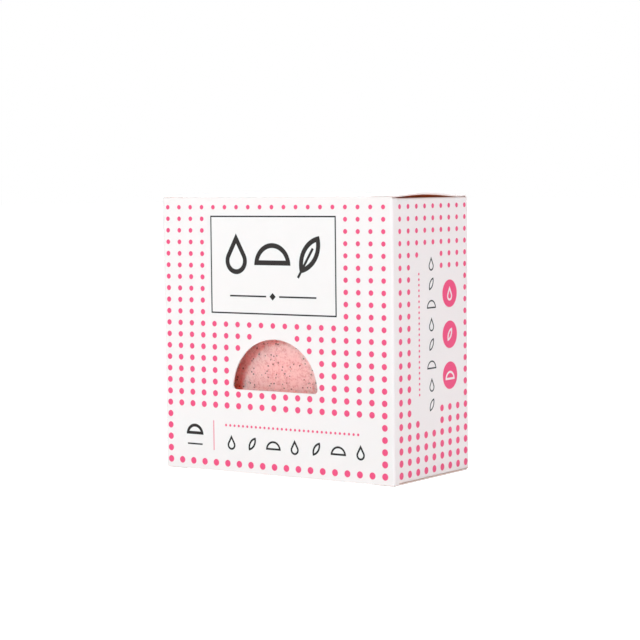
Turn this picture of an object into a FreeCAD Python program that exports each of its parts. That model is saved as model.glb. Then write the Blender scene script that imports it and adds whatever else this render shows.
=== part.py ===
import FreeCAD
import Part
import Sketcher

import math
import os
import re

# A dome-shaped konjac sponge standing in its windowed folding carton, a straight tuck end box.
# Millimetres, +Z up, +Y to the back. The origin is the middle of the carton's base.
# The carton is folded from one board, and each panel between two folds is a sub-part of its own.

SIZES = {
    # the sponge: a dome with a flat round face, which lies to the window
    "sponge_diameter": 79.0,
    "sponge_depth": 37.9,
    "sponge_rim": 6.0,
    "sponge_shoulder_share": 0.76,
    # room left round the sponge, which makes the carton as large as it is
    "sponge_side_gap": 2.55,
    "sponge_front_gap": 3.4,
    "sponge_back_gap": 0.3,
    "sponge_seat_gap": 0.3,
    "sponge_head_gap": 4.0,
    # board, and the inside radius of every fold in it
    "board": 0.45,
    "crease_inner": 0.45,
    "square_fold_angle": 90.0,
    # front panel, with its half-round window
    "front_edge_setback": 0.25,
    "window_radius": 15.7,
    "window_sill": 25.7,
    "window_corner": 1.2,
    # lid and base, and the tuck on the front edge of each
    "lid_side_gap": 0.3,
    "tuck_gap": 0.35,
    "tuck_reach": 12.0,
    "tuck_lean_angle": 10.0,
    "tuck_side_gap": 1.2,
    "tuck_taper_angle": 3.0,
    "tuck_corner": 7.0,
    "lock_slit": 6.0,
    # dust flaps, on the side panels under the lid and over the base
    "lid_flap_gap": 0.2,
    "base_flap_gap": 0.05,
    "flap_reach": 26.0,
    "flap_tuck_gap": 1.4,
    "flap_back_gap": 0.3,
    "flap_shoulder_gap": 0.1,
    "flap_front_taper_angle": 8.0,
    "flap_back_taper_angle": 25.0,
    "flap_corner": 4.0,
    # glued seam at the back left corner
    "seam_setback": 0.2,
    "glue_film": 0.1,
    "glue_width": 7.0,
    "glue_end_gap": 4.0,
    "glue_corner": 2.0,
    "glue_flap_reach": 13.0,
    "glue_flap_end_gap": 0.6,
    "glue_flap_taper_angle": 15.0,
    "glue_flap_corner": 1.5,
}

# Formulas in the names above. A fold is measured to its outside radius.
FOLD = "(crease_inner + board)"
WIDTH = "(sponge_diameter + 2 * sponge_side_gap + 2 * board)"
DEPTH = "(sponge_depth + sponge_front_gap + sponge_back_gap + 2 * board)"
HEIGHT = "(sponge_diameter + sponge_seat_gap + sponge_head_gap + 2 * board)"
SQUARE = "(square_fold_angle / 2)"
TUCK_TURN = "((square_fold_angle + tuck_lean_angle) / 2)"
FRONT_PLANE = f"(-{DEPTH} / 2 + {FOLD})"
BACK_PLANE = f"({DEPTH} / 2 - {FOLD})"
SIDE_PLANE = f"({WIDTH} / 2 - {FOLD})"
# the side panels stop short of the lid and the base, so that the dust flaps fit under and over them
SIDE_FOOT = "(board + base_flap_gap)"
SIDE_TOP = f"({HEIGHT} - board - lid_flap_gap)"
SIDE_MIDDLE = f"(({SIDE_TOP} + {SIDE_FOOT}) / 2)"
SIDE_HALF = f"(({SIDE_TOP} - {SIDE_FOOT}) / 2)"
# a dust flap's root, from behind the tuck to the back fold
FLAP_FRONT = f"(-{DEPTH} / 2 + 2 * board + tuck_gap + flap_tuck_gap)"
FLAP_BACK = f"({BACK_PLANE} - flap_back_gap)"
FLAP_ROOT = f"({FLAP_BACK} - {FLAP_FRONT})"
FLAP_MIDDLE = f"(({FLAP_BACK} + {FLAP_FRONT}) / 2)"
# the lid's front fold lies behind the front panel
TUCK_PLANE = f"({FRONT_PLANE} + board + tuck_gap)"
TUCK_WIDTH = f"({WIDTH} - 2 * board - 2 * tuck_side_gap)"
TUCK_CREASE = f"({TUCK_WIDTH} - 2 * lock_slit)"
# the glue flap lies inside the left panel, a film of glue away
SEAM_PLANE = f"(-{SIDE_PLANE} + board + glue_film)"
GLUE_FLAP_HALF = f"({SIDE_HALF} - {FOLD} - glue_flap_end_gap)"
GLUE_FLAP_FREE = f"({GLUE_FLAP_HALF} - glue_flap_reach * tan(glue_flap_taper_angle))"

SAME_PLACE = 1e-6
FULL_TURN = 360.0
LEFT, RIGHT = 1, -1

doc = FreeCAD.newDocument("boxed_sponge")
sheet = doc.addObject("Spreadsheet::Sheet", "sizes")
sub_parts = []


def fill_sheet():
    for row, (alias, number) in enumerate(SIZES.items(), start=1):
        sheet.set(f"A{row}", alias)
        sheet.set(f"B{row}", str(number))
        sheet.setAlias(f"B{row}", alias)
    doc.recompute()


def cells(formula):
    """The formula with every size's name turned into its cell."""
    return re.sub(r"[a-z_]+", lambda word: f"sizes.{word[0]}" if word[0] in SIZES else word[0], formula)


def value(formula):
    return float(sheet.evalExpression(cells(formula)))


def bind(thing, path, formula):
    thing.setExpression(path, cells(formula))


def new_body(label):
    body = doc.addObject("PartDesign::Body", label)
    body.Label = label
    sub_parts.append(body)
    return body


def facing(outward, towards_fold):
    """Turns a panel's own frame: its -Y side faces outward and its +Z edge points the other way given."""
    inward = FreeCAD.Vector(*outward) * -1
    upward = FreeCAD.Vector(*towards_fold)
    return FreeCAD.Rotation(inward.cross(upward), inward, upward, "ZYX")


def place(body, middle, rotation):
    body.Placement = FreeCAD.Placement(FreeCAD.Vector(), rotation)
    for axis, formula in zip("xyz", middle):
        bind(body, f"Placement.Base.{axis}", formula)


def sketch_on(body, name, role, offset):
    plane = next(feature for feature in body.Origin.OriginFeatures if feature.Role == role)
    sketch = body.newObject("Sketcher::SketchObject", name)
    sketch.AttachmentSupport = [(plane, "")]
    sketch.MapMode = "FlatFace"
    bind(sketch, "AttachmentOffset.Base.z", offset)
    return sketch


def arc_between(start, end, radius, side):
    """An arc of under half a circle, with its centre to the left or right of the way from start to end."""
    chord = end - start
    middle = (start + end) / 2
    across = FreeCAD.Vector(-chord.y, chord.x, 0) / chord.Length
    centre = middle + across * side * math.sqrt(max(radius**2 - chord.Length**2 / 4, 0))
    first, last = (start, end) if side == LEFT else (end, start)
    angles = [math.atan2(point.y - centre.y, point.x - centre.x) for point in (first, last)]
    return Part.ArcOfCircle(Part.Circle(centre, FreeCAD.Vector(0, 0, 1), radius), *angles)


def draw(sketch, outline):
    """Closed outline. Each entry is a point's two formulas and the bend to the next point:
    None for a straight run, or an arc's radius formula and the side of its centre."""
    points = [FreeCAD.Vector(value(across), value(up), 0) for across, up, bend in outline]
    ends = []
    for index, (across, up, bend) in enumerate(outline):
        start, end = points[index], points[(index + 1) % len(points)]
        if bend is None:
            sketch.addGeometry(Part.LineSegment(start, end))
        else:
            sketch.addGeometry(arc_between(start, end, value(bend[0]), bend[1]))
        ends.append((2, 1) if bend and bend[1] == RIGHT else (1, 2))
    for index, (across, up, bend) in enumerate(outline):
        after = (index + 1) % len(outline)
        sketch.addConstraint(Sketcher.Constraint("Coincident", index, ends[index][1], after, ends[after][0]))
        sizes = [("DistanceX", (-1, 1, index, ends[index][0]), across)]
        sizes.append(("DistanceY", (-1, 1, index, ends[index][0]), up))
        if bend:
            sizes.append(("Radius", (index,), bend[0]))
        for kind, what, formula in sizes:
            number = sketch.addConstraint(Sketcher.Constraint(kind, *what, value(formula)))
            bind(sketch, f"Constraints[{number}]", formula)


def plate(body, outline, thickness="board", outer_face=FOLD):
    """A flat sheet in the body's XZ plane, with its outer face that far in front of the plane."""
    sketch = sketch_on(body, "sheet_outline", "XZ_Plane", outer_face)
    draw(sketch, outline)
    pad = body.newObject("PartDesign::Pad", "sheet")
    pad.Profile = sketch
    pad.Reversed = True
    bind(pad, "Length", thickness)
    return pad


def straight(*points):
    return [(across, up, None) for across, up in points]


def rectangle(left, right, bottom, top):
    return straight((left, bottom), (right, bottom), (right, top), (left, top))


def half_crease(body, edge, start, turn, low, high):
    """Half of a fold along one edge of a sheet: from the edge, start away from the middle, through the
    turn, between low and high. The neighbouring panel has the other half."""
    upright = edge in ("left", "right")
    sign = "" if edge in ("right", "top") else "-"
    side = LEFT if edge in ("right", "bottom") else RIGHT
    points = []
    for radius, angle, bend in (
        (FOLD, "0", (FOLD, side)),
        (FOLD, turn, None),
        ("crease_inner", turn, ("crease_inner", -side)),
        ("crease_inner", "0", None),
    ):
        away = f"{sign}({start} + {radius} * sin({angle}))"
        depth = f"-{radius} * cos({angle})"
        points.append((away, depth, bend) if upright else (depth, away, bend))
    middle = f"(({low} + {high}) / 2)"
    sketch = sketch_on(body, f"{edge}_fold_section", "XY_Plane" if upright else "YZ_Plane", middle)
    draw(sketch, points)
    pad = body.newObject("PartDesign::Pad", f"{edge}_fold")
    pad.Profile = sketch
    pad.SideType = "Symmetric"
    bind(pad, "Length", f"{high} - ({low})")


def round_corners(body, feature, radius, corners):
    """Rounds a sheet's edges that stand through its thickness at the given corners."""
    doc.recompute()
    places = [(value(across), value(up)) for across, up in corners]
    names = []
    for number, edge in enumerate(feature.Shape.Edges, start=1):
        ends = [(vertex.Point.x, vertex.Point.z) for vertex in edge.Vertexes]
        if any(all(math.dist(end, corner) < SAME_PLACE for end in ends) for corner in places):
            names.append(f"Edge{number}")
    fillet = body.newObject("PartDesign::Fillet", "rounded_corners")
    fillet.Base = (feature, names)
    bind(fillet, "Radius", radius)


def front_panel():
    body = new_body("front_panel")
    half_width = SIDE_PLANE
    half_height = f"({HEIGHT} / 2 - front_edge_setback)"
    plate(body, rectangle(f"-{half_width}", half_width, f"-{half_height}", half_height))
    sill = f"(window_sill - {HEIGHT} / 2)"
    corners = [("window_radius", sill), ("-window_radius", sill)]
    window = sketch_on(body, "window_outline", "XZ_Plane", FOLD)
    quarter = ("window_radius", LEFT)
    draw(window, [(*corners[0], quarter), ("0", f"{sill} + window_radius", quarter), (*corners[1], None)])
    pocket = body.newObject("PartDesign::Pocket", "window")
    pocket.Profile = window
    bind(pocket, "Length", "board")
    round_corners(body, pocket, "window_corner", corners)
    for edge in ("left", "right"):
        half_crease(body, edge, half_width, SQUARE, f"-{half_height}", half_height)
    place(body, ("0", FRONT_PLANE, f"{HEIGHT} / 2"), facing((0, -1, 0), (0, 0, 1)))


def side_panel(label, outward, front_edge, back_edge, back_end):
    """A side panel's own X runs along the carton's depth. front_edge is the edge that folds into the
    front panel, and back_end is how far the sheet reaches to the back. Beside the dust flaps the sheet
    has shoulders as high as their folds."""
    body = new_body(label)
    half_height = f"({SIDE_HALF} - {FOLD})"
    to_back = 1 if front_edge == "left" else -1
    flap_ends = [f"({to_back} * {FLAP_MIDDLE} {sign} {FLAP_ROOT} / 2)" for sign in "-+"]
    near, far = f"({flap_ends[0]} - flap_shoulder_gap)", f"({flap_ends[1]} + flap_shoulder_gap)"
    spans = {"left": (f"{FRONT_PLANE}", back_end), "right": (f"-{back_end}", f"-{FRONT_PLANE}")}
    left, right = spans[front_edge]
    top = [(left, SIDE_HALF), (near, SIDE_HALF), (near, half_height)]
    top += [(far, half_height), (far, SIDE_HALF), (right, SIDE_HALF)]
    plate(body, straight(*[(across, f"-{up}") for across, up in top], *reversed(top)))
    half_crease(body, front_edge, f"-{FRONT_PLANE}", SQUARE, f"-{SIDE_HALF}", SIDE_HALF)
    if back_edge:
        half_crease(body, back_edge, BACK_PLANE, SQUARE, f"-{SIDE_HALF}", SIDE_HALF)
    for edge in ("bottom", "top"):
        half_crease(body, edge, half_height, SQUARE, *flap_ends)
    plane = SIDE_PLANE if outward > 0 else f"-{SIDE_PLANE}"
    place(body, (plane, "0", SIDE_MIDDLE), facing((outward, 0, 0), (0, 0, 1)))


def back_panel():
    body = new_body("back_panel")
    half_height = f"({HEIGHT} / 2 - {FOLD})"
    seam_end = f"(-{SEAM_PLANE})"
    plate(body, rectangle(f"-{SIDE_PLANE}", seam_end, f"-{half_height}", half_height))
    half_crease(body, "left", SIDE_PLANE, SQUARE, f"-{half_height}", half_height)
    seam_middle = f"({SIDE_MIDDLE} - {HEIGHT} / 2)"
    seam = [f"({seam_middle} {sign} {GLUE_FLAP_HALF})" for sign in "-+"]
    half_crease(body, "right", seam_end, SQUARE, *seam)
    lid_half = f"({WIDTH} / 2 - lid_side_gap - board)"
    for edge in ("bottom", "top"):
        half_crease(body, edge, half_height, SQUARE, f"-{lid_half}", lid_half)
    place(body, ("0", BACK_PLANE, f"{HEIGHT} / 2"), facing((0, 1, 0), (0, 0, 1)))


def end_panel(label, outward, height):
    """The lid or the base: it folds into the back panel, and into its tuck behind the front panel.
    The front fold is slit at both ends, where the dust flaps lock it, and there a lip reaches as far out."""
    body = new_body(label)
    half_width = f"({WIDTH} / 2 - lid_side_gap)"
    half_depth = f"(({BACK_PLANE} - {TUCK_PLANE}) / 2)"
    half_slit = f"({TUCK_CREASE} / 2)"
    lip = f"-({half_depth} + {FOLD})"
    corner = [(half_width, half_depth), (half_width, lip), (half_slit, lip), (half_slit, f"-{half_depth}")]
    plate(body, straight(*corner, *[(f"-{across}", up) for across, up in reversed(corner)]))
    hinge_half = f"({half_width} - board)"
    half_crease(body, "top", half_depth, SQUARE, f"-{hinge_half}", hinge_half)
    half_crease(body, "bottom", half_depth, TUCK_TURN, f"-{half_slit}", half_slit)
    middle = ("0", f"({BACK_PLANE} + {TUCK_PLANE}) / 2", height)
    place(body, middle, facing((0, 0, outward), (0, 1, 0)))


def flap(label, root, reach, tapers, corner, turn, crease, middle, rotation):
    """A flap hangs from a fold along the top of its sheet, at the origin of its own frame, and narrows
    to its free edge by a taper on its left and on its right."""
    body = new_body(label)
    left, right = (f"{root} / 2 - {reach} * tan({taper})" for taper in tapers)
    free = [(f"-({left})", f"-{reach}"), (right, f"-{reach}")]
    sheet_pad = plate(body, straight(*free, (f"{root} / 2", "0"), (f"-{root} / 2", "0")))
    round_corners(body, sheet_pad, corner, free)
    half_crease(body, "top", "0", turn, f"-{crease} / 2", f"{crease} / 2")
    place(body, middle, rotation)


def tuck(label, up, height):
    lean = FreeCAD.Rotation(FreeCAD.Vector(1, 0, 0), value("tuck_lean_angle"))
    flap(
        label,
        TUCK_WIDTH,
        "tuck_reach",
        ("tuck_taper_angle", "tuck_taper_angle"),
        "tuck_corner",
        TUCK_TURN,
        TUCK_CREASE,
        ("0", TUCK_PLANE, height),
        facing((0, -1, 0), (0, 0, up)) * lean,
    )


def dust_flap(label, side, up, height):
    tapers = ("flap_front_taper_angle", "flap_back_taper_angle")
    flap(
        label,
        FLAP_ROOT,
        "flap_reach",
        tapers if side * up < 0 else tapers[::-1],
        "flap_corner",
        SQUARE,
        FLAP_ROOT,
        (f"{side} * {SIDE_PLANE}", FLAP_MIDDLE, height),
        facing((0, 0, up), (side, 0, 0)),
    )


def glue_seam():
    """The glue flap folds round from the back panel, and a film of glue holds it inside the left panel."""
    flap(
        "glue_flap",
        f"(2 * {GLUE_FLAP_HALF})",
        "glue_flap_reach",
        ("glue_flap_taper_angle", "glue_flap_taper_angle"),
        "glue_flap_corner",
        SQUARE,
        f"(2 * {GLUE_FLAP_HALF})",
        (SEAM_PLANE, BACK_PLANE, SIDE_MIDDLE),
        facing((-1, 0, 0), (0, 1, 0)),
    )
    body = new_body("glue_film")
    half_length = f"({GLUE_FLAP_FREE} - glue_end_gap)"
    corners = rectangle("-glue_width / 2", "glue_width / 2", f"-{half_length}", half_length)
    film = plate(body, corners, "glue_film", f"{FOLD} + glue_film")
    round_corners(body, film, "glue_corner", [(across, up) for across, up, bend in corners])
    middle = (SEAM_PLANE, f"{BACK_PLANE} - glue_flap_reach / 2", SIDE_MIDDLE)
    place(body, middle, facing((-1, 0, 0), (0, 0, 1)))


def sponge():
    """A dome turned about the carton's depth, from its flat face at the front: rounded rim, shoulder and
    crown, each tangent to the next."""
    body = new_body("sponge")
    radius = "(sponge_diameter / 2)"
    dome = "(sponge_depth - sponge_rim)"
    shoulder = f"(sponge_shoulder_share * {dome})"
    inset = f"({radius} - {shoulder})"
    crown = f"(({dome} ^ 2 + {inset} ^ 2 - {shoulder} ^ 2) / (2 * ({dome} - {shoulder})))"
    reach = f"({crown} / ({crown} - {shoulder}))"
    section = sketch_on(body, "section", "YZ_Plane", "0")
    draw(
        section,
        [
            ("0", "0", None),
            ("0", f"{radius} - sponge_rim", ("sponge_rim", LEFT)),
            ("-sponge_rim", radius, (shoulder, LEFT)),
            (f"{crown} - sponge_depth - {reach} * ({crown} - {dome})", f"{reach} * {inset}", (crown, LEFT)),
            ("-sponge_depth", "0", None),
        ],
    )
    dome_turn = body.newObject("PartDesign::Revolution", "dome")
    dome_turn.Profile = section
    dome_turn.ReferenceAxis = (section, ["H_Axis"])
    dome_turn.Angle = FULL_TURN
    seat = f"board + sponge_seat_gap + {radius}"
    place(body, ("0", f"board + sponge_front_gap - {DEPTH} / 2", seat), facing((0, 1, 0), (0, 0, 1)))


def check_document():
    doc.recompute()
    for thing in doc.Objects:
        if "Invalid" in thing.State or "Error" in thing.State:
            raise RuntimeError(f"{thing.Label} failed: {thing.State}")
    for body in sub_parts:
        if body.Shape.isNull() or not body.Shape.isValid() or len(body.Shape.Solids) != 1:
            raise RuntimeError(f"{body.Label} is not one valid solid")


def write_parts():
    os.makedirs("parts", exist_ok=True)
    for body in sub_parts:
        body.Shape.exportStep(f"parts/{body.Label}.step")
        box = body.Shape.optimalBoundingBox()
        print(f"{body.Label}: {box.XLength:.2f} x {box.YLength:.2f} x {box.ZLength:.2f} mm")


fill_sheet()
front_panel()
side_panel("right_panel", 1, "left", "right", BACK_PLANE)
back_panel()
side_panel("left_panel", -1, "right", None, f"({DEPTH} / 2 - seam_setback)")
glue_seam()
for end, up, plane, fold in (
    ("lid", 1, f"{HEIGHT} - {FOLD}", f"{SIDE_TOP} - {FOLD}"),
    ("base", -1, FOLD, f"{SIDE_FOOT} + {FOLD}"),
):
    end_panel(f"{end}_panel", up, plane)
    tuck(f"{end}_tuck", up, plane)
    dust_flap(f"{end}_dust_flap_right", 1, up, fold)
    dust_flap(f"{end}_dust_flap_left", -1, up, fold)
sponge()
check_document()
write_parts()
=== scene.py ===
import math
import bmesh
import bpy
from mathutils import Matrix, Vector, noise


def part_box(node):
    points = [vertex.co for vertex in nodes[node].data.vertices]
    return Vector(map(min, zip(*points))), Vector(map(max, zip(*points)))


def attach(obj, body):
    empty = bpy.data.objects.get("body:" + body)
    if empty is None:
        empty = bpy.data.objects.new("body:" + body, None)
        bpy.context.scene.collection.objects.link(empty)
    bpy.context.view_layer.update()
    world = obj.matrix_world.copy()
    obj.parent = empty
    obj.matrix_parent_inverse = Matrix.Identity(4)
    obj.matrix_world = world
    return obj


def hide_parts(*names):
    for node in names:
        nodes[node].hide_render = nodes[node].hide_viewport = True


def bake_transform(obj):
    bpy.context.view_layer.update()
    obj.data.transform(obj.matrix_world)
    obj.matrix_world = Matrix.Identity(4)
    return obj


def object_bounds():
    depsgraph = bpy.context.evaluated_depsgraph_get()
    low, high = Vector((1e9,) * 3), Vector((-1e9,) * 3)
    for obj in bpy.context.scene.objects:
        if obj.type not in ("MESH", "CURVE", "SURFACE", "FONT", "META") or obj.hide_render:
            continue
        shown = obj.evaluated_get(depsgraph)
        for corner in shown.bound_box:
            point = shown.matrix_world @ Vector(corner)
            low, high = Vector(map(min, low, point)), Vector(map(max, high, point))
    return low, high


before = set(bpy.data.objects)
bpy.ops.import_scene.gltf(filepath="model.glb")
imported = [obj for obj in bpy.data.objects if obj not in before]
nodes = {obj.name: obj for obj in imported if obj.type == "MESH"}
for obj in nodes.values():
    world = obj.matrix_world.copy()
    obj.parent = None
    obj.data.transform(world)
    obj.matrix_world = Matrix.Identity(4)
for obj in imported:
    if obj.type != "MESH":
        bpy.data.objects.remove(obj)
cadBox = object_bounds()  # the solids' own box, before anything is added
scene = bpy.context.scene
mm = 0.001


# a shader socket that can be reckoned with like a number
class Wire:
    def __init__(self, tree, socket):
        self.tree = tree
        self.socket = socket

    def node(self, kind, settings, sockets, output=0):
        made = self.tree.nodes.new(kind)
        for name, setting in settings.items():
            setattr(made, name, setting)
        for name, value in sockets.items():
            if isinstance(value, Wire):
                self.tree.links.new(value.socket, made.inputs[name])
            else:
                made.inputs[name].default_value = value
        return Wire(self.tree, made.outputs[output] if made.outputs else None)

    def other(self, output):
        return Wire(self.tree, self.socket.node.outputs[output])

    def math(self, operation, *values, clamp=False):
        settings = {"operation": operation, "use_clamp": clamp}
        return self.node("ShaderNodeMath", settings, dict(enumerate((self,) + values)))

    def __add__(self, value):
        return self.math("ADD", value)

    def __radd__(self, value):
        return self.math("ADD", value)

    def __sub__(self, value):
        return self.math("SUBTRACT", value)

    def __rsub__(self, value):
        return self.math("MULTIPLY_ADD", -1.0, value)

    def __mul__(self, value):
        return self.math("MULTIPLY", value)

    def __rmul__(self, value):
        return self.math("MULTIPLY", value)

    def __truediv__(self, value):
        return self.math("DIVIDE", value)

    def __neg__(self):
        return self.math("MULTIPLY", -1.0)

    def __abs__(self):
        return self.math("ABSOLUTE")

    def __lt__(self, value):
        return self.math("LESS_THAN", value)

    def __gt__(self, value):
        return self.math("GREATER_THAN", value)


# small helpers for wires
def least(first, *others):
    for value in others:
        first = first.math("MINIMUM", value)
    return first


def most(first, *others):
    for value in others:
        first = first.math("MAXIMUM", value)
    return first


def span(across, up):
    return (across * across + up * up).math("SQRT")


def mix(amount, first, second):
    return amount.node("ShaderNodeMix", {"data_type": "RGBA"}, {0: amount, 6: first, 7: second}, 2)


def cloud(spot, scale, detail=2.0, roughness=0.5):
    sockets = {"Vector": spot, "Scale": scale, "Detail": detail, "Roughness": roughness}
    return spot.node("ShaderNodeTexNoise", {}, sockets)


def cells(spot, scale, output):
    return spot.node("ShaderNodeTexVoronoi", {}, {"Vector": spot, "Scale": scale}, output)


def startMaterial(name):
    material = bpy.data.materials.new(name)
    material.use_nodes = True
    material.node_tree.nodes.clear()
    return material, Wire(material.node_tree, None)


def finishMaterial(start, surface):
    start.node("ShaderNodeOutputMaterial", {}, {"Surface": surface})


def bumped(height, strength, distance):
    return height.node("ShaderNodeBump", {}, {"Height": height, "Strength": strength, "Distance": distance})


def objectSpot(start):  # object coordinates in millimetres
    spot = start.node("ShaderNodeTexCoord", {}, {}, "Object")
    return start.node("ShaderNodeVectorMath", {"operation": "SCALE"}, {0: spot, "Scale": 1 / mm})


def axes(spot):
    x = spot.node("ShaderNodeSeparateXYZ", {}, {0: spot}, "X")
    return x, x.other("Y"), x.other("Z")


# folding carton board: white coat outside, warm uncoated reverse, layered cut edge
# the coat is a little short of red, because red light comes back through it from inside the carton
board = {
    "coat": (0.858, 0.914, 0.918, 1),
    "coatDim": (0.834, 0.888, 0.891, 1),
    "reverse": (0.72, 0.50, 0.34, 1),
    "reverseDark": (0.57, 0.37, 0.24, 1),
    "edge": (0.86, 0.91, 0.905, 1),
    "edgeDark": (0.77, 0.815, 0.80, 1),
    "coatBroad": {"scale": 0.11},
    "coatFine": {"scale": 4.0},
    "coatBroadShare": 0.6,
    "fibres": {"scale": 1.3, "detail": 6.0, "roughness": 0.72},
    "flecks": {"scale": 3.2, "detail": 1.0},
    "fleckLimit": 0.68,
    "fleckDepth": 0.35,
    "edgeFibres": {"scale": 5.0, "detail": 4.0, "roughness": 0.7},
    "coatRoughness": 0.44,
    "rawRoughness": 0.86,
    "inkGloss": 0.07,
    "sheen": 0.15,
    "through": (0.97, 0.42, 0.22, 1),  # light that comes through the thin board
    "throughShare": 0.2,
    "sideLimit": 0.5,  # how square to a face the normal has to be, to count as that side
    "grain": {"scale": 3.0, "detail": 5.0, "roughness": 0.65},
    "grainDepth": 0.02 * mm,
    "grainStrength": 0.35,
    "coatGrainLoss": 0.75,  # how much of the grain the coat fills
}
ink = {
    "pink": (0.80, 0.072, 0.222, 1),
    "pinkThin": (0.82, 0.098, 0.257, 1),
    "charcoal": (0.015, 0.0125, 0.012, 1),
    "charcoalThin": (0.026, 0.0225, 0.0215, 1),
    "spread": {"scale": 2.5, "detail": 3.0},  # the inks lie a little unevenly on the coat
    "bleed": 0.10,  # width of an ink edge, in mm
    "away": 50.0,  # a gap, in mm, that no ink reaches across
}


def coatColour(spot):
    broad = cloud(spot, **board["coatBroad"]) * board["coatBroadShare"]
    fine = cloud(spot, **board["coatFine"]) * (1 - board["coatBroadShare"])
    return mix(broad + fine, board["coatDim"], board["coat"])


def reverseColour(spot):
    fibres = cloud(spot, **board["fibres"])
    flecks = cloud(spot, **board["flecks"]) > board["fleckLimit"]
    return mix(fibres - flecks * board["fleckDepth"], board["reverseDark"], board["reverse"])


def edgeColour(spot):
    return mix(cloud(spot, **board["edgeFibres"]), board["edgeDark"], board["edge"])


def finishBoard(start, colour, roughness, height, share):
    sheet = start.node("ShaderNodeBsdfPrincipled", {}, {
        "Base Color": colour, "Roughness": roughness, "Specular IOR Level": board["sheen"],
        "Normal": bumped(height, board["grainStrength"], board["grainDepth"])})
    through = start.node("ShaderNodeBsdfTranslucent", {}, {"Color": board["through"]})
    finishMaterial(start, start.node("ShaderNodeMixShader", {}, {0: share, 1: sheet, 2: through}))


def inked(gap):  # half inked on the outline itself
    return gap.math("MULTIPLY_ADD", -1 / ink["bleed"], 0.5, clamp=True)


def boardMaterial(name, outward, artwork=None):
    material, start = startMaterial(name)
    spot = objectSpot(start)
    normal = start.node("ShaderNodeTexCoord", {}, {}, "Normal")
    dot = {"operation": "DOT_PRODUCT"}
    facing = start.node("ShaderNodeVectorMath", dot, {0: normal, 1: outward}, "Value")
    outside = facing > board["sideLimit"]
    inside = facing < -board["sideLimit"]
    colour = coatColour(spot)
    gloss = outside * (board["rawRoughness"] - board["coatRoughness"])
    share = board["throughShare"]
    if artwork:
        pink, charcoal = artwork(spot)
        spread = cloud(spot, **ink["spread"])
        pinkMask = inked(pink)
        charcoalMask = inked(charcoal)
        colour = mix(pinkMask, colour, mix(spread, ink["pink"], ink["pinkThin"]))
        colour = mix(charcoalMask, colour, mix(spread, ink["charcoal"], ink["charcoalThin"]))
        gloss = gloss + most(pinkMask, charcoalMask) * outside * board["inkGloss"]
        share = (1 - charcoalMask) * board["throughShare"]
    raw = mix(inside, edgeColour(spot), reverseColour(spot))
    height = cloud(spot, **board["grain"]) * (1 - outside * board["coatGrainLoss"])
    finishBoard(start, mix(outside, raw, colour), board["rawRoughness"] - gloss, height, share)
    return material


def rawMaterial(name, colour, roughness):
    material, start = startMaterial(name)
    spot = objectSpot(start)
    finishBoard(start, colour(spot), roughness, cloud(spot, **board["grain"]), board["throughShare"])
    return material


# printed shapes as gaps in mm to their outline, less than nothing inside
def boxGap(across, up, box):
    left, right, low, high = box
    sideways = abs(across - (left + right) / 2) - (right - left) / 2
    return most(sideways, abs(up - (low + high) / 2) - (high - low) / 2)


def nearestStep(along, row):
    step = ((along - row["first"]) / row["pitch"]).math("ROUND")
    return least(most(step, 0.0), row["count"] - 1.0)


def stepPlace(step, row):
    return step * row["pitch"] + row["first"]


def outlined(gap, stroke):
    return abs(gap + stroke / 2) - stroke / 2


signForms = {
    "kinds": 3,  # a drop, a leaf and a dome, in this order
    "dropPoint": 29,  # half the angle at its tip
    "leafLean": 32,
    "leafWidth": 0.46,
    "leafTall": 1.05,
    "veinLow": -0.66,
    "veinHigh": 0.18,
    "domeWide": 1.2,
}


def dropGap(across, up, tall):
    point = math.radians(signForms["dropPoint"])
    radius = tall / (1 + 1 / math.sin(point))
    rise = up + (tall / 2 - radius)
    sideways = abs(across)
    bowl = span(across, rise) - radius
    cone = sideways * math.cos(point) + rise * math.sin(point) - radius
    onCone = (rise * math.cos(point) - sideways * math.sin(point)) > 0
    return bowl + onCone * (cone - bowl)


def leafAxes(across, up):
    lean = math.radians(signForms["leafLean"])
    sideways = across * math.cos(lean) - up * math.sin(lean)
    return sideways, across * math.sin(lean) + up * math.cos(lean)


def leafGap(across, up, tall):
    wide = tall * signForms["leafWidth"]
    radius = (tall * tall + wide * wide) / (4 * wide)
    sideways, lengthways = leafAxes(across, up)
    return span(abs(sideways) + (radius - wide / 2), lengthways) - radius


def leafVeinGap(across, up, tall, stroke):
    sideways, lengthways = leafAxes(across, up)
    low, high = tall * signForms["veinLow"], tall * signForms["veinHigh"]
    return boxGap(sideways, lengthways, (-stroke / 2, stroke / 2, low, high))


def domeGap(across, up, wide):
    radius = wide / 2
    rise = up + radius / 2
    return most(span(across, rise) - radius, -rise)


def signGap(kind, across, up, tall, stroke):
    shapes = (dropGap(across, up, tall), leafGap(across, up, tall * signForms["leafTall"]),
              domeGap(across, up, tall * signForms["domeWide"]))
    gaps = [outlined(gap, stroke) + abs(kind - place) * ink["away"] for place, gap in enumerate(shapes)]
    return least(*gaps)


def nextKind(step):
    return step.math("FLOORED_MODULO", signForms["kinds"])


def dotGrid(across, up, grid):
    column = nearestStep(across, grid["columns"])
    row = nearestStep(up, grid["rows"])
    cellAcross = stepPlace(column, grid["columns"])
    cellUp = stepPlace(row, grid["rows"])
    growth = (grid["lastRadius"] - grid["firstRadius"]) / (grid["rows"]["count"] - 1)
    gap = span(across - cellAcross, up - cellUp) - (row * growth + grid["firstRadius"])
    return gap, cellAcross, cellUp


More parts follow.
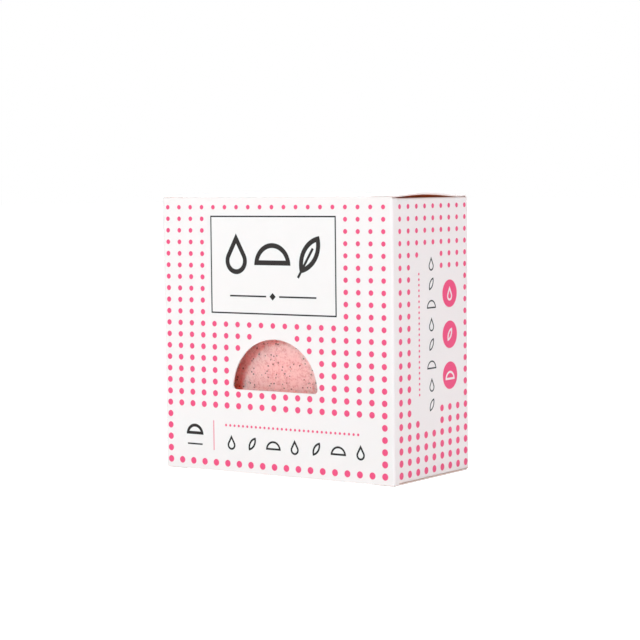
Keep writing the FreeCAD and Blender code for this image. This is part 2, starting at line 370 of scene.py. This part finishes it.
wallRows = {"first": 81.1, "pitch": -3.561, "count": 23}
wideColumns = {"first": -40.2, "pitch": 4.418, "count": 19}
narrowColumns = {"first": -17.4, "pitch": 4.549, "count": 9}
frontPrint = {
    "dots": {"columns": wideColumns, "rows": wallRows, "firstRadius": 0.69, "lastRadius": 1.045},
    "bareFrame": (-23.9, 23.1, 48.5, 78.8),
    "bareBand": (-38.0, 37.0, 4.5, 18.8),
    "bareWindow": {"radius": 17.1, "sill": 25.7},
    "frame": (-23.4, 22.6, 49.0, 78.3),
    "frameLine": 0.45,
    "signs": {"up": 67.0, "tall": 12.4, "stroke": 1.5, "drop": -13.9, "dome": -0.4, "leaf": 13.3,
              "domeWide": 1.08, "leafTall": 1.06, "veinStroke": 0.55},
    "rule": (-16.4, 15.6, 54.0, 54.5),
    "lozenge": {"across": -0.4, "up": 54.25, "reach": 1.15, "clear": 2.4},
    "mark": {"across": -30.7, "up": 12.6, "wide": 6.6, "stroke": 0.95},
    "markRule": (-33.6, -27.8, 7.75, 8.25),
    "divider": (-23.5, -23.2, 6.5, 15.7),
    "beads": {"row": {"first": -18.6, "pitch": 1.62, "count": 31}, "up": 14.5, "radius": 0.4},
    "signRow": {"row": {"first": -16.6, "pitch": 7.9, "count": 7}, "up": 9.3, "tall": 4.6, "stroke": 0.62},
}


def frontArtwork(spot):
    settings = frontPrint
    x, y, z = axes(spot)
    dots, cellX, cellZ = dotGrid(x, z, settings["dots"])
    window = settings["bareWindow"]
    cellRise = cellZ - window["sill"]
    bareWindow = most(span(cellX, cellRise) - window["radius"], -cellRise)
    bareFrame = boxGap(cellX, cellZ, settings["bareFrame"])
    bare = least(bareFrame, boxGap(cellX, cellZ, settings["bareBand"]), bareWindow)
    beads = settings["beads"]
    beadPlace = stepPlace(nearestStep(x, beads["row"]), beads["row"])
    bead = span(x - beadPlace, z - beads["up"]) - beads["radius"]
    pink = least(dots + (bare < 0) * ink["away"], bead, boxGap(x, z, settings["divider"]))

    line = settings["frameLine"]
    frameLine = abs(boxGap(x, z, settings["frame"])) - line / 2
    signs = settings["signs"]
    tall, stroke, rise = signs["tall"], signs["stroke"], z - signs["up"]
    drop = outlined(dropGap(x - signs["drop"], rise, tall), stroke)
    dome = outlined(domeGap(x - signs["dome"], rise, tall * signs["domeWide"]), stroke)
    leafAcross = x - signs["leaf"]
    leaf = outlined(leafGap(leafAcross, rise, tall * signs["leafTall"]), stroke)
    vein = leafVeinGap(leafAcross, rise, tall, stroke * signs["veinStroke"])
    lozenge = settings["lozenge"]
    sideways = abs(x - lozenge["across"])
    rule = most(boxGap(x, z, settings["rule"]), lozenge["clear"] - sideways)
    diamond = sideways + abs(z - lozenge["up"]) - lozenge["reach"]
    mark = settings["mark"]
    markDome = outlined(domeGap(x - mark["across"], z - mark["up"], mark["wide"]), mark["stroke"])
    small = settings["signRow"]
    step = nearestStep(x, small["row"])
    row = signGap(nextKind(step), x - stepPlace(step, small["row"]), z - small["up"],
                  small["tall"], small["stroke"])
    charcoal = least(frameLine, drop, dome, leaf, vein, rule, diamond, markDome,
                     boxGap(x, z, settings["markRule"]), row)
    return pink, charcoal


rightPrint = {
    "dots": {"columns": narrowColumns, "rows": wallRows, "firstRadius": 0.735, "lastRadius": 1.085},
    "bare": [(-10.0, 16.5, 22.4, 61.5), (-10.0, 3.0, 19.0, 65.0), (-5.5, 3.0, 15.0, 68.5)],
    "discs": {"row": {"first": 54.7, "pitch": -12.35, "count": 3}, "across": 10.1, "radius": 4.15,
              "tall": 4.4, "stroke": 0.62},
    "beads": {"row": {"first": 61.2, "pitch": -1.62, "count": 23}, "across": -7.2, "radius": 0.4},
    "signRow": {"row": {"first": 64.0, "pitch": -6.0, "count": 8}, "across": -0.3, "tall": 4.2,
                "stroke": 0.45},
}


def rightArtwork(spot):
    settings = rightPrint
    x, y, z = axes(spot)
    dots, cellY, cellZ = dotGrid(y, z, settings["dots"])
    bare = least(*[boxGap(cellY, cellZ, box) for box in settings["bare"]])
    discs = settings["discs"]
    step = nearestStep(z, discs["row"])
    sideways = y - discs["across"]
    rise = z - stepPlace(step, discs["row"])
    sign = signGap(step, sideways, rise, discs["tall"], discs["stroke"])
    disc = most(span(sideways, rise) - discs["radius"], -sign)
    beads = settings["beads"]
    beadPlace = stepPlace(nearestStep(z, beads["row"]), beads["row"])
    bead = span(y - beads["across"], z - beadPlace) - beads["radius"]
    small = settings["signRow"]
    step = nearestStep(z, small["row"])
    row = signGap(nextKind(step), y - small["across"], z - stepPlace(step, small["row"]),
                  small["tall"], small["stroke"])
    return least(dots + (bare < 0) * ink["away"], disc, bead), row


def dotsOnly(across, up, grid):
    gap = dotGrid(across, up, grid)[0]
    return gap, abs(gap) + ink["away"]


def backArtwork(spot):
    x, y, z = axes(spot)
    return dotsOnly(-x, z, frontPrint["dots"])


def leftArtwork(spot):
    x, y, z = axes(spot)
    return dotsOnly(-y, z, rightPrint["dots"])


lidPrint = {
    "columns": wideColumns, "rows": {"first": -18.05, "pitch": 3.561, "count": 11},
    "firstRadius": 0.71, "lastRadius": 0.71,
}


def lidArtwork(spot):
    x, y, z = axes(spot)
    return dotsOnly(x, y, lidPrint)


coatMaterial = rawMaterial("board_coat", coatColour, board["coatRoughness"])
reverseMaterial = rawMaterial("board_reverse", reverseColour, board["rawRoughness"])
edgeMaterial = rawMaterial("board_edge", edgeColour, board["rawRoughness"])
tuckLean = 10  # degrees, as the solids have it
tuckForward, tuckDown = -math.cos(math.radians(tuckLean)), -math.sin(math.radians(tuckLean))
panels = {
    "front_panel": ((0, -1, 0), frontArtwork),
    "right_panel": ((1, 0, 0), rightArtwork),
    "back_panel": ((0, 1, 0), backArtwork),
    "left_panel": ((-1, 0, 0), leftArtwork),
    "glue_flap": ((-1, 0, 0), None),
    "base_panel": ((0, 0, -1), None),
    "lid_tuck": ((0, tuckForward, tuckDown), None),
    "base_tuck": ((0, tuckForward, -tuckDown), None),
    "lid_dust_flap_right": ((0, 0, 1), None),
    "lid_dust_flap_left": ((0, 0, 1), None),
    "base_dust_flap_right": ((0, 0, -1), None),
    "base_dust_flap_left": ((0, 0, -1), None),
}
for node, (outward, artwork) in panels.items():
    nodes[node].material_slots[0].material = boardMaterial(node + "_board", outward, artwork)
print("board finishes:", len(panels))

# dried glue in the seam
glue = {
    "colour": (0.80, 0.76, 0.66, 1), "thin": (0.88, 0.85, 0.78, 1), "streaks": {"scale": 0.8, "detail": 3.0},
    "roughness": 0.35, "roughnessRange": 0.2,
}


def glueMaterial():
    material, start = startMaterial("dried_glue")
    streaks = cloud(objectSpot(start), **glue["streaks"])
    finishMaterial(start, start.node("ShaderNodeBsdfPrincipled", {}, {
        "Base Color": mix(streaks, glue["colour"], glue["thin"]),
        "Roughness": streaks * glue["roughnessRange"] + glue["roughness"]}))
    return material


nodes["glue_film"].material_slots[0].material = glueMaterial()
weld = 0.001 * mm  # points of a solid's mesh that lie nearer than this are one
sharpAngle = 30
foldRadius = 0.9 * mm  # to the outside of the board


def mergedCopy(node):
    bm = bmesh.new()
    bm.from_mesh(nodes[node].data)
    bmesh.ops.remove_doubles(bm, verts=bm.verts, dist=weld)
    return bm


def newPiece(name, bm, materials):
    mesh = bpy.data.meshes.new(name)
    bm.to_mesh(mesh)
    bm.free()
    for material in materials:
        mesh.materials.append(material)
    piece = bpy.data.objects.new(name, mesh)
    scene.collection.objects.link(piece)
    return piece


def smoothShade(piece):
    piece.data.shade_smooth()
    piece.data.set_sharp_from_angle(angle=math.radians(sharpAngle))


# the lid, sprung up a little behind its tuck and resting on the dust flaps further back
lid = {"rise": 0.72 * mm, "settle": 0.14 * mm, "sprung": 0.8, "cuts": 24, "nearCut": 0.0001 * mm}


def makeLid():
    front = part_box("lid_panel")[0].y + foldRadius
    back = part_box("back_panel")[1].y - foldRadius
    sprung = lid["sprung"]
    bm = mergedCopy("lid_panel")
    for cut in range(lid["cuts"] + 1):
        y = front + (back - front) * cut / lid["cuts"]
        bmesh.ops.bisect_plane(bm, geom=bm.verts[:] + bm.edges[:] + bm.faces[:], dist=lid["nearCut"],
                               plane_co=(0, y, 0), plane_no=(0, 1, 0))
    for vert in bm.verts:
        along = min(max((vert.co.y - front) / (back - front), 0.0), 1.0)
        if along < sprung:
            vert.co.z += lid["rise"] * math.sin(math.pi * along / sprung)
        else:
            vert.co.z -= lid["settle"] * math.sin(math.pi * (along - sprung) / (1 - sprung)) ** 2
    piece = newPiece("lid_sprung", bm, [boardMaterial("lid_board", (0, 0, 1), lidArtwork)])
    smoothShade(piece)
    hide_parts("lid_panel")
    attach(piece, "lid")
    print("lid:", len(piece.data.polygons), "faces")


makeLid()

# board that runs unbroken round each fold that opens
fold = {
    "board": 0.45 * mm, "skin": 0.02 * mm, "lap": 0.3 * mm, "steps": 10, "sideLimit": 0.5,
    "hingeHalf": 41.77 * mm, "tuckHalf": 34.87 * mm, "over": 0.02 * mm, "squareTurn": 90,
}


def makeFold(name, centre, normal, onward, half, turn):
    # normal is the first panel's outward side, onward the way the board runs into the fold
    along = normal.cross(onward)
    turning = Matrix.Rotation(math.radians(turn), 3, along)
    outer = foldRadius + fold["skin"]
    inner = foldRadius - fold["board"] - fold["skin"]
    middle = foldRadius - fold["board"] / 2
    bm = bmesh.new()
    corners = []
    for radius, end in ((outer, -half), (outer, half), (inner, half), (inner, -half)):
        corners.append(bm.verts.new(centre + normal * radius + along * end))
    edges = [bm.edges.new((corners[i - 1], corners[i])) for i in range(len(corners))]
    spun = bmesh.ops.spin(bm, geom=corners + edges, cent=centre, axis=along, angle=math.radians(turn),
                          steps=fold["steps"])
    last = [item for item in spun["geom_last"] if isinstance(item, bmesh.types.BMEdge)]
    for ends, side, away in ((edges, normal, -onward), (last, turning @ normal, turning @ onward)):
        made = bmesh.ops.extrude_edge_only(bm, edges=ends)["geom"]
        verts = [item for item in made if isinstance(item, bmesh.types.BMVert)]
        bmesh.ops.translate(bm, verts=verts, vec=away * fold["lap"])
        for vert in verts:  # the lap runs out flush with the board
            reach = (vert.co - centre).dot(side)
            vert.co -= side * math.copysign(fold["skin"], reach - middle)
    bmesh.ops.holes_fill(bm, edges=bm.edges[:], sides=4)
    bmesh.ops.recalc_face_normals(bm, faces=bm.faces[:])
    for face in bm.faces:
        spoke = face.calc_center_median() - centre
        spoke -= along * spoke.dot(along)
        facing = face.normal.dot(spoke.normalized())  # the slots are coat, reverse and cut edge
        if abs(facing) < fold["sideLimit"]:
            face.material_index = 2
        elif facing < 0:
            face.material_index = 1
    piece = newPiece(name, bm, [coatMaterial, reverseMaterial, edgeMaterial])
    smoothShade(piece)
    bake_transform(piece)


def makeFolds():
    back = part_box("back_panel")[1].y - foldRadius
    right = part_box("right_panel")[1].x - foldRadius
    for end, up in (("lid", 1), ("base", -1)):
        low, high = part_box(end + "_panel")
        flapLow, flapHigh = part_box(end + "_dust_flap_right")
        level = high.z - foldRadius if up > 0 else low.z + foldRadius
        flapLevel = flapHigh.z - foldRadius if up > 0 else flapLow.z + foldRadius
        middle = (flapLow.y + flapHigh.y) / 2
        half = (flapHigh.y - flapLow.y) / 2 + fold["over"]
        rise = Vector((0, 0, up))
        makeFold(end + "_back_fold", Vector((0, back, level)),
                 Vector((0, 1, 0)), rise, fold["hingeHalf"], fold["squareTurn"])
        makeFold(end + "_tuck_fold", Vector((0, low.y + foldRadius, level)),
                 rise, Vector((0, -1, 0)), fold["tuckHalf"], fold["squareTurn"] + tuckLean)
        for side, sign in (("right", 1), ("left", -1)):
            makeFold(end + "_flap_" + side + "_fold",
                     Vector((sign * right, middle, flapLevel)), Vector((sign, 0, 0)), rise,
                     half, fold["squareTurn"])
        print("folds of the", end, "at", level, "and", flapLevel)


makeFolds()

# konjac sponge: a dry porous dome with a fine, speckled skin
konjac = {
    "voxel": 0.5 * mm,
    "sagSize": 14.0, "sagDepth": 0.45 * mm,
    "pitSize": 1.4, "pitDepth": 0.42 * mm, "pitShift": (31, 7, 12),
    "grainSize": 0.8, "grainDepth": 0.12 * mm, "grainShift": (5, 19, 3),
    "pale": (0.95, 0.485, 0.473, 1), "deep": (0.80, 0.295, 0.286, 1), "speck": (0.18, 0.055, 0.05, 1),
    "mottle": {"scale": 0.9, "detail": 4.0, "roughness": 0.62}, "mottleShare": 0.55,
    "fibres": {"scale": 1.7, "detail": 3.0, "roughness": 0.6},
    "middle": 0.5, "contrast": 6.0, "paleness": 0.78,
    "speckScale": 0.95, "speckless": 0.35, "speckReach": 0.36, "speckEdge": 9.0, "speckCover": 0.8,
    "poreScale": 1.5, "poreLimit": 0.5,
    "roughness": 0.92, "paleGloss": 0.1, "sheen": 0.2,
    "scatter": 1.0, "scatterReach": 1.0 * mm, "scatterColours": (22.0, 0.8, 0.6),
    "fibreHeight": 0.8, "mottleHeight": 0.6, "speckDent": 0.3, "bumpDepth": 0.3 * mm, "bumpStrength": 0.8,
}


def konjacMaterial():
    material, start = startMaterial("konjac_sponge")
    spot = objectSpot(start)
    mottle = cloud(spot, **konjac["mottle"])
    fibres = cloud(spot, **konjac["fibres"])
    blend = mottle * konjac["mottleShare"] + fibres * (1 - konjac["mottleShare"])
    tone = ((blend - konjac["middle"]) * konjac["contrast"]).math("ADD", konjac["paleness"], clamp=True)
    colour = mix(tone, konjac["deep"], konjac["pale"])
    chances = cells(spot, konjac["speckScale"], "Color")
    chance = spot.node("ShaderNodeSeparateXYZ", {}, {0: chances}, "X")
    reach = chance.other("Y") * konjac["speckReach"]
    near = reach - cells(spot, konjac["speckScale"], "Distance")
    within = near.math("MULTIPLY", konjac["speckEdge"], clamp=True)
    specks = (chance > konjac["speckless"]) * within * konjac["speckCover"]
    pores = least(cells(spot, konjac["poreScale"], "Distance"), konjac["poreLimit"])
    height = fibres * konjac["fibreHeight"] + mottle * konjac["mottleHeight"] + pores
    height = height - specks * konjac["speckDent"]
    skin = start.node("ShaderNodeBsdfPrincipled", {"subsurface_method": "BURLEY"}, {
        "Base Color": mix(specks, colour, konjac["speck"]),
        "Roughness": konjac["roughness"] - tone * konjac["paleGloss"],
        "Normal": bumped(height, konjac["bumpStrength"], konjac["bumpDepth"]),
        "Specular IOR Level": konjac["sheen"], "Subsurface Weight": konjac["scatter"],
        "Subsurface Radius": konjac["scatterColours"], "Subsurface Scale": konjac["scatterReach"]})
    finishMaterial(start, skin)
    return material


def lumps(place, layer):
    return noise.noise(place / konjac[layer + "Size"] + Vector(konjac.get(layer + "Shift", (0, 0, 0))))


def makeSponge():
    rough = newPiece("sponge_rough", mergedCopy("sponge"), [])
    remesh = rough.modifiers.new("even", "REMESH")
    remesh.mode = "VOXEL"
    remesh.voxel_size = konjac["voxel"]
    mesh = bpy.data.meshes.new_from_object(rough.evaluated_get(bpy.context.evaluated_depsgraph_get()))
    bpy.data.objects.remove(rough)
    mesh.name = "sponge_dome"
    piece = bpy.data.objects.new("sponge_dome", mesh)
    scene.collection.objects.link(piece)
    moves = []
    for vert in mesh.vertices:
        place = vert.co / mm
        sag = (lumps(place, "sag") + 1) / 2 * konjac["sagDepth"]
        pit = max(0.0, lumps(place, "pit")) * konjac["pitDepth"]
        grain = (lumps(place, "grain") + 1) / 2 * konjac["grainDepth"]
        moves.append(vert.normal * -(sag + pit + grain))
    for vert, move in zip(mesh.vertices, moves):
        vert.co += move
    mesh.shade_smooth()
    mesh.materials.clear()
    mesh.materials.append(konjacMaterial())
    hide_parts("sponge")
    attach(piece, "sponge")
    print("sponge:", len(mesh.polygons), "faces")


makeSponge()

white = (1, 1, 1, 1)

# white sweep under the carton
floor = {"radius": 8.0, "segments": 96, "colour": (0.93, 0.93, 0.93, 1), "shown": 0.93}


def shownRays(start):  # camera, mirror and glass rays see the white studio, the rest see its light
    camera = start.node("ShaderNodeLightPath", {}, {}, "Is Camera Ray")
    return most(camera, camera.other("Is Glossy Ray"), camera.other("Is Transmission Ray"))


def makeFloor():
    bm = bmesh.new()
    bmesh.ops.create_circle(bm, cap_ends=True, segments=floor["segments"], radius=floor["radius"])
    bmesh.ops.translate(bm, verts=bm.verts, vec=(0, 0, cadBox[0].z))
    material, start = startMaterial("white_sweep")
    matt = start.node("ShaderNodeBsdfDiffuse", {}, {"Color": floor["colour"]})
    shown = shownRays(start) * floor["shown"]
    glow = start.node("ShaderNodeEmission", {}, {"Color": white, "Strength": shown})
    finishMaterial(start, start.node("ShaderNodeAddShader", {}, {0: matt, 1: glow}))
    piece = newPiece("floor", bm, [material])


makeFloor()

studio = {
    "ambient": 0.1,
    "distance": 0.9,
    "lamps": {
        "key": {"azimuth": -9, "elevation": 21, "size": 0.36, "level": 0.745,
                "colour": (1, 1, 1)},
        "side": {"azimuth": 88, "elevation": 20, "size": 0.5, "level": 0.60,
                 "colour": (1, 0.935, 0.96)},
        "top": {"azimuth": 20, "elevation": 84, "size": 0.6, "level": 0.27,
                "colour": (1, 1, 1)},
        "back": {"azimuth": 212, "elevation": 24, "size": 0.6, "level": 0.62,
                 "colour": (1, 1, 1)},
    },
}


def makeStudio():
    world = bpy.data.worlds.new("studio")
    scene.world = world
    world.use_nodes = True
    world.node_tree.nodes.clear()
    start = Wire(world.node_tree, None)
    strength = shownRays(start) * (1 - studio["ambient"]) + studio["ambient"]
    sky = start.node("ShaderNodeBackground", {}, {"Color": white, "Strength": strength})
    start.node("ShaderNodeOutputWorld", {}, {"Surface": sky})
    middle = (cadBox[0] + cadBox[1]) / 2
    distance = studio["distance"]
    fullPower = (math.pi * distance) ** 2  # watts that show a colour as written, on a face square to the lamp
    for name, lamp in studio["lamps"].items():
        light = bpy.data.lights.new(name, "AREA")
        light.shape = "DISK"
        light.size = lamp["size"]
        light.color = lamp["colour"]
        light.energy = lamp["level"] * fullPower
        around = math.radians(lamp["azimuth"])
        over = math.radians(lamp["elevation"])
        level = Vector((math.sin(around), -math.cos(around), 0))
        away = level * math.cos(over) + Vector((0, 0, math.sin(over)))
        item = bpy.data.objects.new(name, light)
        item.location = middle + away * distance
        item.rotation_euler = away.to_track_quat("Z", "Y").to_euler()
        scene.collection.objects.link(item)
    scene.view_settings.view_transform = "Standard"
    print("lamps:", len(studio["lamps"]))


makeStudio()

photoCamera = {
    "location": (0.3627, -0.5184, 0.0889), "turn": (86.1179, 0.5906, 34.7873), "lens": 115.7, "clip": 0.01,
}
cameraData = bpy.data.cameras.new("photo_camera")
cameraData.lens = photoCamera["lens"]
cameraData.clip_start = photoCamera["clip"]
camera = bpy.data.objects.new("photo_camera", cameraData)
camera.location = photoCamera["location"]
camera.rotation_euler = [math.radians(angle) for angle in photoCamera["turn"]]
scene.collection.objects.link(camera)
scene.camera = camera
